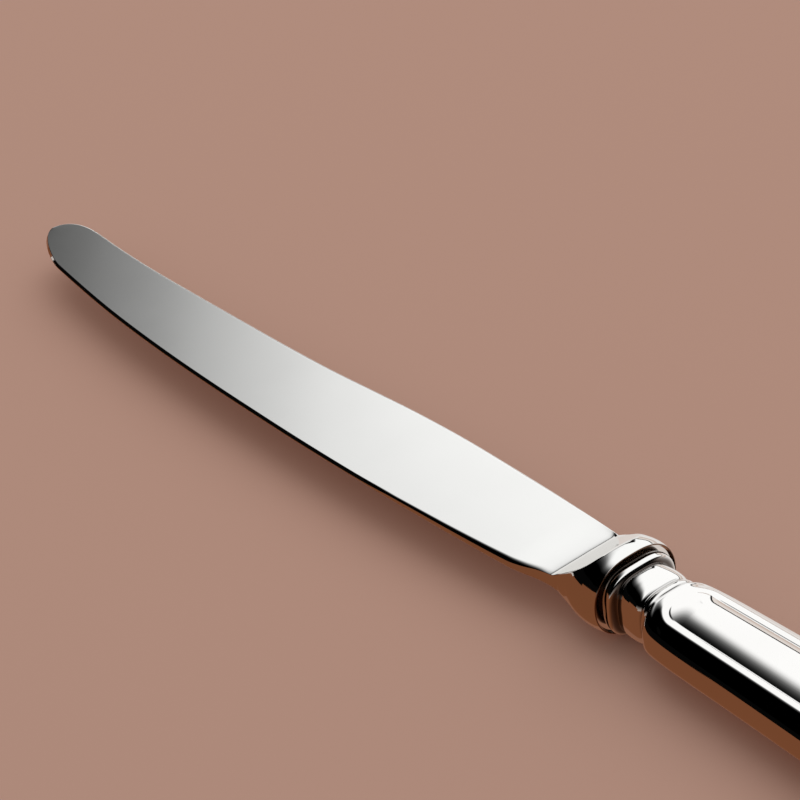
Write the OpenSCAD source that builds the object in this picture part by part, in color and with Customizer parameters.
// Table knife with a forged blade and a hollow handle, lying on its side.
// X runs along the knife with the tip at -X and the butt at +X, the cutting edge
// faces -Y, the spine faces +Y, and Z is square to the broad faces of the blade.
// The origin is under the middle of the knife, on the surface that it lies on.

/* [Blade] */
// Length of the blade from the bolster to the tip
blade_len = 138; // [100:1:160]
// Widest measure from the cutting edge to the spine
blade_w = 17.6; // [14:0.2:22]
// Thickness of the spine where it meets the bolster
root_t = 3.8; // [3:0.1:5]
// Thickness of the spine at the tip
tip_t = 1.3; // [0.8:0.1:2]
// Thickness of the blunt edge at the heel
heel_t = 2.4; // [1.6:0.1:3]
// Thickness of the blade just above the ground edge
grind_t = 1.2; // [0.5:0.1:1.5]
// Width of the ground cutting edge
grind_w = 0.7; // [0.4:0.1:1.2]
// Distance from the bolster to the start of the ground edge
grind_start = 34; // [20:1:50]
// Length of the rounded tip
tip_len = 10; // [6:0.5:14]

/* [Bolster] */
// Length of the bolster from the blade to its rim
bolster_len = 9.5; // [7:0.1:13]
// Width of the bolster across the blade
bolster_w = 16.2; // [14:0.1:20]
// Height of the bolster over the broad faces
bolster_h = 13.2; // [12:0.1:17]
// Distance of the bolster's middle from the handle's middle line, towards the spine
bolster_y = 0.6; // [0:0.1:1]
// Length of the flat ramp from the blade's face up to the barrel of the bolster
ramp_len = 6.5; // [5:0.1:6.8]
// Softness of the corners at the foot and at the top of the ramp
ramp_soft = 0.4; // [0.2:0.05:0.8]
// Width of the flat land on the rear rim
rim_land = 0.35; // [0.2:0.05:0.6]
// Depth of the recess behind the rim that the handle seats in
seat_depth = 0.6; // [0.3:0.05:1]
// Width of the sloping wall of that recess
seat_slope = 0.5; // [0.3:0.05:0.8]

/* [Tang] */
// Length of the tang behind the seat
tang_len = 62; // [40:1:75]
// Width of the tang
tang_w = 6; // [4:0.1:6.6]
// Thickness of the tang
tang_t = 3; // [2:0.1:3.6]
// Clearance between the tang and the filling
tang_gap = 0.05; // [0.02:0.01:0.1]

/* [Handle neck] */
// Length of the mouldings between the bolster and the handle body
neck_len = 9.3; // [7:0.1:12]
// Width of the neck over its first ring
neck_w = 13.4; // [12:0.1:14]
// Height of the neck over its first ring
neck_h = 11; // [9.8:0.1:12]
// Width of the bore through the neck
bore_w = 7.6; // [7:0.1:8]
// Height of the bore through the neck
bore_h = 6.6; // [5.6:0.1:7]

/* [Handle body] */
// Length of the handle body behind the neck
body_len = 89.7; // [70:0.5:105]
// Width of the handle near its butt
body_w = 20.8; // [18:0.2:24]
// Height of the handle body near its butt, without the bead
body_h = 9; // [8:0.1:11]
// Thickness of the stamped sheet
sheet_t = 0.8; // [0.6:0.05:1]
// Length of the rounded butt
butt_len = 11; // [8:0.5:16]
// Length of the hollow that is left empty at the butt
void_len = 8; // [4:0.5:12]
// Clearance between the sheet and the filling
fill_gap = 0.05; // [0.02:0.01:0.1]
// Thickness of the brazed seam between the half shells
seam_t = 0.2; // [0.1:0.05:0.3]

/* [Bead] */
// Width of the raised bead round each broad face
bead_w = 1.6; // [1.2:0.1:2]
// Height of the bead over the face
bead_h = 0.55; // [0.3:0.05:0.8]
// Distance from the neck to the middle of the bead
bead_start = 1.9; // [1.5:0.1:3]
// Radius of the bead's corners at the neck
bead_corner_r = 3.2; // [2.4:0.1:4]
// Distance from the butt to the middle of the bead
bead_end = 4.2; // [3:0.1:6]
// Radius of the bead's corners at the butt
bead_butt_r = 5.4; // [4:0.1:5.8]

/* [Hidden] */

// Places along the knife, measured from the end of the blade's face
seat_x = bolster_len - seat_depth;
body_x = seat_x + neck_len;
butt_x = body_x + body_len;
mid_x = (butt_x - blade_len) / 2;
rest_z = bolster_h / 2;

// Blade outline as shares of its length and of its width
edge_shares = [[0, -0.37], [0.015, -0.38], [0.03, -0.4], [0.05, -0.446], [0.07, -0.476], [0.15, -0.516],
    [0.22, -0.541], [0.3, -0.568], [0.4, -0.583], [0.48, -0.584], [0.6, -0.573], [0.7, -0.545],
    [0.8, -0.491], [0.9, -0.4], [1, -0.285]];
spine_shares = [[0, 0.372], [0.06, 0.395], [0.12, 0.418], [0.2, 0.429], [0.28, 0.426], [0.36, 0.395],
    [0.43, 0.347], [0.5, 0.298], [0.58, 0.264], [0.66, 0.242], [0.74, 0.222], [0.83, 0.206],
    [0.9, 0.214], [0.95, 0.233], [1, 0.236]];
tip_y_share = -0.02;

// Bolster as shares of its length, of half its width and of half its height
bolster_w_shares = [[0, 0.815], [0.2, 0.85], [0.4, 0.925], [0.55, 0.97], [0.7, 0.998], [0.85, 1], [1, 0.98]];
bolster_h_shares = [[0, 0.4], [0.2, 0.69], [0.4, 0.88], [0.55, 0.955], [0.7, 0.985], [0.85, 1], [1, 0.985]];
// Squareness of the bolster's oval at shares of its length
bolster_corners = [[0, 3.4], [0.2, 2.9], [0.45, 2.7], [0.8, 2.5], [1, 2.35]];

// Neck mouldings as shares of the neck's length and of its half width and half height: a ring,
// a cove, a long swelling, a groove and a thin fillet
neck_w_shares = [[0, 0.9], [0.03, 0.955], [0.065, 0.99], [0.11, 1], [0.16, 0.98], [0.21, 0.905], [0.25, 0.8],
    [0.3, 0.715], [0.36, 0.715], [0.44, 0.758], [0.53, 0.797], [0.63, 0.812], [0.73, 0.806], [0.8, 0.785],
    [0.84, 0.765], [0.855, 0.74], [0.87, 0.768], [0.92, 0.802], [0.97, 0.785], [1, 0.75]];
neck_h_shares = [[0, 0.9], [0.03, 0.955], [0.065, 0.99], [0.11, 1], [0.16, 0.985], [0.21, 0.93], [0.25, 0.86],
    [0.3, 0.81], [0.36, 0.825], [0.44, 0.88], [0.53, 0.93], [0.63, 0.943], [0.73, 0.925], [0.8, 0.893],
    [0.84, 0.865], [0.855, 0.83], [0.87, 0.855], [0.92, 0.89], [0.97, 0.865], [1, 0.815]];

// Handle body as shares of its length and of its half width and half height
body_w_shares = [[0, 0.495], [0.006, 0.605], [0.016, 0.67], [0.035, 0.71], [0.08, 0.742], [0.14, 0.762],
    [0.25, 0.795], [0.45, 0.865], [0.7, 0.945], [0.9, 0.995], [1, 1.005]];
body_h_shares = [[0, 1], [0.006, 0.96], [0.02, 0.915], [0.1, 0.905], [0.45, 0.935], [0.9, 1], [1, 1]];
// Distance of the bead from the middle line, as a share of the half width
bead_y_share = 0.57;

// A smooth curve through a table of [place, value] pairs
function limit(v) = min(max(v, 0), 1);
function mix(a, b, t) = a + (b - a) * t;
function ease(t) = limit(t) * limit(t) * (3 - 2 * limit(t));
function span(t, x, i = 0) = (i >= len(t) - 2 || x < t[i + 1][0]) ? i : span(t, x, i + 1);
function slope(t, i) =
    let(a = max(i - 1, 0), b = min(i + 1, len(t) - 1))
    (t[b][1] - t[a][1]) / (t[b][0] - t[a][0]);
function curve(t, x) =
    let(i = span(t, x), h = t[i + 1][0] - t[i][0], s = limit((x - t[i][0]) / h))
    t[i][1] * (1 + 2 * s) * (1 - s) * (1 - s) + slope(t, i) * h * s * (1 - s) * (1 - s)
    + t[i + 1][1] * s * s * (3 - 2 * s) - slope(t, i + 1) * h * s * s * (1 - s);

// Faces of a skin over rings of m points each, closed at both ends
function skin_faces(n, m) = concat(
    [[for (j = [0:m - 1]) j]],
    [for (i = [0:n - 2]) for (j = [0:m - 1]) [i * m + j, (i + 1) * m + j, (i + 1) * m + (j + 1) % m]],
    [for (i = [0:n - 2]) for (j = [0:m - 1]) [i * m + j, (i + 1) * m + (j + 1) % m, i * m + (j + 1) % m]],
    [[for (j = [m - 1:-1:0]) (n - 1) * m + j]]);
module skin(rings) {
    polyhedron([for (r = rings) each r], skin_faces(len(rings), len(rings[0])), convexity = 6);
}

// Oval ring: corner is 2 for an ellipse and more for a squarer oval
half_pts = 12;
end_turn = 5;
function oval_top(x, w, h, corner) =
    [for (k = [0:half_pts])
        let(a = mix(end_turn, 180 - end_turn, k / half_pts))
        [x, w * sign(cos(a)) * pow(abs(cos(a)), 2 / corner), h * pow(sin(a), 2 / corner)]];
function with_mirror(top) =
    concat(top, [for (k = [len(top) - 1:-1:0]) [top[k][0], top[k][1], -top[k][2]]]);
function oval(x, w, h, corner) = with_mirror(oval_top(x, w, h, corner));

// Blade at the distance d from the bolster: blunt or ground edge, flat faces, rounded spine
side_shares = [0, 0.22, 0.58, 1];
blunt_shares = [0.1, 0.66, 0.92, 1];
ground_shares = [0.12, 0.32, 0.64, 1];
face_pts = half_pts - 2 * len(side_shares) + 2;

// Roundness of the tip on the side of the edge and of the spine, and how its thickness runs out
edge_bow = 1.6;
spine_bow = 4;
taper_bow = 0.8;
tip_thin_share = 0.6;
tip_thin_bow = 3;
function tip_turn(d) = limit((d - blade_len + tip_len) / tip_len);
function edge_y(d) =
    let(y = blade_w * curve(edge_shares, d / blade_len), tip = blade_w * tip_y_share)
    mix(tip, y, sqrt(1 - pow(tip_turn(d), edge_bow)));
function spine_y(d) =
    let(y = blade_w * curve(spine_shares, d / blade_len), tip = blade_w * tip_y_share)
    mix(tip, y, sqrt(1 - pow(tip_turn(d), spine_bow)));
function ground(d) = ease(3 * (d - grind_start) / grind_start);
function spine_t(d) =
    mix(root_t, tip_t, pow(d / blade_len, taper_bow))
    * mix(1, tip_thin_share, pow(tip_turn(d), tip_thin_bow));
function edge_t(d) =
    let(t = spine_t(d), blunt = mix(heel_t, grind_t, limit(d / grind_start)))
    min(t, mix(blunt, min(grind_t, t), ground(d)));
function edge_run(d) = min(mix(edge_t(d) / 2, grind_w, ground(d)), (spine_y(d) - edge_y(d)) / 3);
function spine_run(d) = min(spine_t(d) / 4, (spine_y(d) - edge_y(d)) / 3);
function blade_top(d) =
    let(e = edge_y(d), s = spine_y(d), ts = spine_t(d), te = edge_t(d), er = edge_run(d), sr = spine_run(d))
    concat(
        [for (k = [0:3]) [-d, s - sr * side_shares[k], ts / 2 * blunt_shares[k]]],
        [for (k = [1:face_pts - 1])
            let(q = k / face_pts) [-d, mix(s - sr, e + er, q), mix(ts, te, q) / 2]],
        [for (k = [3:-1:0])
            [-d, e + er * side_shares[k], te / 2 * mix(blunt_shares[k], ground_shares[k], ground(d))]]);

// Height of the blade's flat face, and of the ramp that rises from it behind the blade
function face_z(d, y) =
    let(a = spine_y(d) - spine_run(d), b = edge_y(d) + edge_run(d))
    mix(spine_t(d), edge_t(d), (a - y) / (a - b)) / 2;

// The foot of the ramp lies further back at the edge than at the spine, and its top is crowned
foot_back_shares = [0.015, 0.1];
crown_share = 0.2;
function ramp_z(x, y) =
    let(t = (spine_y(0) - y) / (spine_y(0) - edge_y(0)),
        back = bolster_len * mix(foot_back_shares[0], foot_back_shares[1], t), run = x + back,
        crown = 1 - crown_share * pow(2 * y / bolster_w, 2),
        top = bolster_h / 2 * curve(bolster_h_shares, ramp_len / bolster_len) * crown)
    mix(face_z(max(-x, 0), y), top, (run + norm([run, ramp_soft])) / 2 / (ramp_len + back));

// Bolster: an oval barrel that the ramp cuts flat. The heel of the blade turns into it.
function soft_min(a, b, r) =
    let(t = limit(0.5 + (b - a) / r / 2))
    mix(b, a, t) - r * t * (1 - t);
function ramped(top, y_mid) =
    [for (p = top)
        let(y = p[1] + y_mid, soft = ramp_soft * 2 * p[2] / bolster_h)
        [p[0], y, soft_min(p[2], ramp_z(p[0], y), soft)]];
heel_mid_y = (spine_y(0) + edge_y(0)) / 2;
side_start_share = 0.2;
function barrel_top(x) =
    let(s = x / bolster_len, w = bolster_w / 2 * curve(bolster_w_shares, s),
        h = bolster_h / 2 * curve(bolster_h_shares, s),
        y_mid = mix(heel_mid_y, bolster_y, ease((s - side_start_share) / (1 - side_start_share))))
    ramped(oval_top(x, w, h, curve(bolster_corners, s)), y_mid);
heel_len_share = 0.09;
heel_h = bolster_h / 2 * bolster_h_shares[0][1];
function heel_top(d) =
    let(w = (spine_y(d) - edge_y(d)) / 2, y_mid = (spine_y(d) + edge_y(d)) / 2,
        o = ramped(oval_top(-d, w, heel_h, bolster_corners[0][1]), y_mid))
    mix(blade_top(d), o, ease(1 - d / (blade_len * heel_len_share)));

// Places of the blade's rings, measured back from the tip
tip_rings = 18;
blade_rings = 18;
heel_rings = 6;
blade_stations = concat(
    [for (i = [0:tip_rings - 1]) blade_len - tip_len * (1 - cos(90 * (i + 0.25) / tip_rings))],
    [for (i = [0:blade_rings - 1]) mix(blade_len - tip_len, blade_len * heel_len_share, i / blade_rings)]);
heel_stations = [for (i = [0:heel_rings - 1]) blade_len * heel_len_share * (1 - i / heel_rings)];
barrel_stations = [0, 0.05, 0.2, 0.4, 0.56, 0.63, 0.67, 0.71, 0.76, 0.85, 0.92, 0.97] * bolster_len;

// Rear rim, its recess and the tang
rim_w = bolster_w / 2 * bolster_w_shares[6][1];
rim_h = bolster_h / 2 * bolster_h_shares[6][1];
rim_corner = bolster_corners[4][1];
function rim_top(x, inset) =
    [for (p = oval_top(x, rim_w - inset, rim_h - inset, rim_corner)) p + [0, bolster_y, 0]];
tang_corner = 6;
tang_taper_share = 0.75;
tang_end_share = 0.9;
function tang_ring(x, taper, gap = 0) =
    oval(x, tang_w / 2 * taper + gap, tang_t / 2 * taper + gap, tang_corner);

module blade() {
    color("silver")
    place()
    skin(concat(
        [for (d = blade_stations) with_mirror(blade_top(d))],
        [for (d = heel_stations) with_mirror(heel_top(d))],
        [for (x = barrel_stations) with_mirror(barrel_top(x))],
        [with_mirror(rim_top(bolster_len, rim_land / 4)),
            with_mirror(rim_top(bolster_len, rim_land)),
            with_mirror(rim_top(seat_x, rim_land + seat_slope)),
            tang_ring(seat_x, 1),
            tang_ring(seat_x + tang_len * tang_end_share, tang_taper_share),
            tang_ring(seat_x + tang_len, tang_taper_share / 2)]));
}

// Butt: the share of its depth that stays flat at its very end, and how round it is over its
// width and over its height
butt_flat_share = 0.012;
butt_bow_w = 2.2;
butt_bow_h = 4;

// Handle: half width, half height and squareness at the distance d behind the seat
neck_corner = 2.15;
body_corner = 2.6;
corner_end_share = 0.03;
function in_neck(d) = d < neck_len;
function body_s(d) = (d - neck_len) / body_len;
function butt_turn(d) = limit((d - neck_len - body_len + butt_len) / butt_len);
function butt_round(d, p) = sqrt(max(1 - pow(butt_turn(d), p), butt_flat_share));
function full_w(d) = in_neck(d) ? neck_w / 2 * curve(neck_w_shares, d / neck_len)
    : body_w / 2 * curve(body_w_shares, body_s(d));
function full_h(d) = in_neck(d) ? neck_h / 2 * curve(neck_h_shares, d / neck_len)
    : body_h / 2 * curve(body_h_shares, body_s(d));
function half_w(d) = full_w(d) * butt_round(d, butt_bow_w);
function half_h(d) = full_h(d) * butt_round(d, butt_bow_h);
function corner(d) = mix(neck_corner, body_corner, ease(body_s(d) / corner_end_share));
// The neck starts in line with the bolster and runs over to the handle's middle line
function neck_y(d) = bolster_y * (1 - ease(2 * d / neck_len));

// Bead height at a point, from its distance to a round-cornered frame
function bead_line_y(d) = body_w / 2 * curve(body_w_shares, body_s(d)) * bead_y_share;
function frame_gap(u, v, r) =
    norm([max(u + r, 0), max(v + r, 0)]) + min(max(u + r, v + r), 0) - r;
function bead(d, y) =
    let(u = abs(y) - bead_line_y(d), near = neck_len + bead_start - d,
        far = d - neck_len - body_len + bead_end,
        g = near > far ? frame_gap(u, near, bead_corner_r) : frame_gap(u, far, bead_butt_r),
        q = 2 * abs(g) / bead_w)
    q < 1 && !in_neck(d) ? bead_h * sqrt(1 - q * q) : 0;
function outer_z(d, y) =
    let(u = limit(abs(y) / half_w(d)))
    half_h(d) * pow(1 - pow(u, corner(d)), 1 / corner(d)) + bead(d, y);

// Columns across a half shell: five over the side, five over the bead, five over the face
side_col_shares = [0, 0.06, 0.2, 0.42, 0.7];
bead_col_shares = [1, 0.75, 0, -0.75, -1];
face_col_shares = [0.8, 0.58, 0.36, 0.18, 0];
bead_limit_share = 0.62;
function half_cols(d) =
    let(w = half_w(d), y = min(bead_line_y(d), w * bead_limit_share), r = bead_w / 2 * limit(w / bead_w / 2))
    concat([for (s = side_col_shares) mix(w, y + r, s)],
        [for (s = bead_col_shares) y + r * s],
        [for (s = face_col_shares) (y - r) * s]);
// Heights start at the top of the seam and still reach the full height h
function above_seam(z, h) = seam_t / 2 + z * (1 - seam_t / 2 / h);
function outer_cols(d) = let(c = half_cols(d)) concat(c, [for (k = [len(c) - 2:-1:0]) -c[k]]);
function outer_pts(d) =
    [for (y = outer_cols(d)) [seat_x + d, y + neck_y(d), above_seam(outer_z(d, y), half_h(d))]];

// Inside of the shells: a straight bore through the neck, then the sheet's thickness inside the body
inner_corner = 2.3;
function open_turn(d) = ease((d - neck_len) / bead_start / 2);
function open_w(d) = mix(bore_w / 2, full_w(d) - sheet_t, open_turn(d)) * butt_round(d, butt_bow_w);
function open_h(d) = mix(bore_h / 2, full_h(d) - sheet_t, open_turn(d)) * butt_round(d, butt_bow_h);
// A row at the distance d outside lies a sheet's thickness further forward inside the butt
function inner_d(d) =
    let(start = neck_len + body_len - butt_len)
    d < start ? d : start + (d - start) * (butt_len - sheet_t) / butt_len;
function inner_pts(d) =
    let(h = open_h(d), top = oval_top(seat_x + inner_d(d), open_w(d), h, inner_corner),
        last = len(top) - 1)
    concat([[top[last][0], top[last][1], seam_t / 2]],
        [for (k = [last:-1:0]) [top[k][0], top[k][1], above_seam(top[k][2], h)]],
        [[top[0][0], top[0][1], seam_t / 2]]);

// Places of the handle's rings, measured from the seat
bead_row_shares = [-1, -0.75, 0, 0.75, 1];
first_row_shares = [0.25, 0.6];
corner_rows = 5;
body_rows = 7;
butt_rows = 6;
long_start = bead_start + bead_corner_r + bead_w / 2;
long_end = body_len - bead_end - bead_butt_r - bead_w / 2;
far_bead = body_len - bead_end;
body_places = concat(
    first_row_shares * (bead_start - bead_w / 2),
    [for (s = bead_row_shares) bead_start + bead_w / 2 * s],
    [for (i = [1:corner_rows]) mix(bead_start + bead_w / 2, long_start, i / corner_rows)],
    [for (i = [1:body_rows]) mix(long_start, long_end, i / body_rows)],
    [for (i = [1:corner_rows - 1]) mix(long_end, far_bead - bead_w / 2, i / corner_rows)],
    [for (s = bead_row_shares) far_bead + bead_w / 2 * s],
    [for (i = [1:butt_rows]) mix(far_bead + bead_w / 2, body_len, sin(90 * i / butt_rows))]);
handle_rows = concat([for (p = neck_w_shares) p[0] * neck_len], [for (s = body_places) neck_len + s]);

// Faces of the mouth's rim, between an outer run of a points and the b points that run back
function partner(i, a, b) = i > a - 2 ? b - 1 : floor(i * (b - 1) / (a - 1) + 0.5);
function stitch_faces(a, b) = concat(
    [for (i = [0:a - 2]) [i, i + 1, a + b - 1 - partner(i, a, b)]],
    [for (i = [0:a - 2]) for (k = [partner(i, a, b):1:partner(i + 1, a, b) - 1])
        [i + 1, a + b - 2 - k, a + b - 1 - k]]);

// Half shell: rings that run over the outside and back along the inside. At the butt both
// surfaces close by themselves, with a flat rim between them on the seam.
module half_shell() {
    outer = [for (d = handle_rows) outer_pts(d)];
    inner = [for (d = handle_rows) inner_pts(d)];
    n = len(handle_rows);
    a = len(outer[0]);
    m = a + len(inner[0]);
    end = (n - 1) * m;
    polyhedron(
        [for (i = [0:n - 1]) each concat(outer[i], inner[i])],
        concat(stitch_faces(a, m - a),
            [for (f = skin_faces(n, m)) if (len(f) == 3) f],
            [[for (j = [a - 1:-1:0]) end + j], [for (j = [m - 1:-1:a]) end + j],
                [end + m - 1, end + a, end + a - 1, end]]),
        convexity = 6);
}
module handle_shell_front() {
    color("gainsboro")
    place()
    half_shell();
}
module handle_shell_back() {
    color("lightgray")
    place()
    mirror([0, 0, 1])
    half_shell();
}

// Brazed seam: a thin strip that follows the rims of the two half shells round the butt
function inner_side(d) = inner_pts(d)[len(inner_pts(d)) - 1][1];
module braze_seam() {
    rows = handle_rows;
    last = len(rows) - 1;
    color("goldenrod")
    place()
    linear_extrude(height = seam_t, center = true)
    polygon(concat(
        [for (d = rows) [seat_x + d, neck_y(d) + half_w(d)]],
        [for (i = [last:-1:0]) [seat_x + rows[i], neck_y(rows[i]) - half_w(rows[i])]],
        [for (d = rows) [seat_x + inner_d(d), -inner_side(d)]],
        [for (i = [last:-1:0]) [seat_x + inner_d(rows[i]), inner_side(rows[i])]]));
}

// Filling: cement cast round the tang, from the mouth of the neck to the empty end of the
// hollow. Its rings start at the bottom of the tang's pocket and turn back over the outside.
fill_len = neck_len + body_len - butt_len - void_len;
fill_rows = concat([for (d = handle_rows) if (d < fill_len) d], [fill_len]);
function fill_ring(d) =
    oval(seat_x + d, open_w(d) - fill_gap, open_h(d) - fill_gap, inner_corner);
module handle_filling() {
    color("tan")
    place()
    skin(concat(
        [tang_ring(seat_x + tang_len + tang_gap, tang_taper_share / 2, tang_gap),
            tang_ring(seat_x + tang_len * tang_end_share, tang_taper_share, tang_gap),
            tang_ring(seat_x, 1, tang_gap)],
        [for (d = fill_rows) fill_ring(d)]));
}

module place() {
    translate([-mid_x, 0, rest_z])
    children();
}

blade();
handle_shell_front();
handle_shell_back();
braze_seam();
handle_filling();
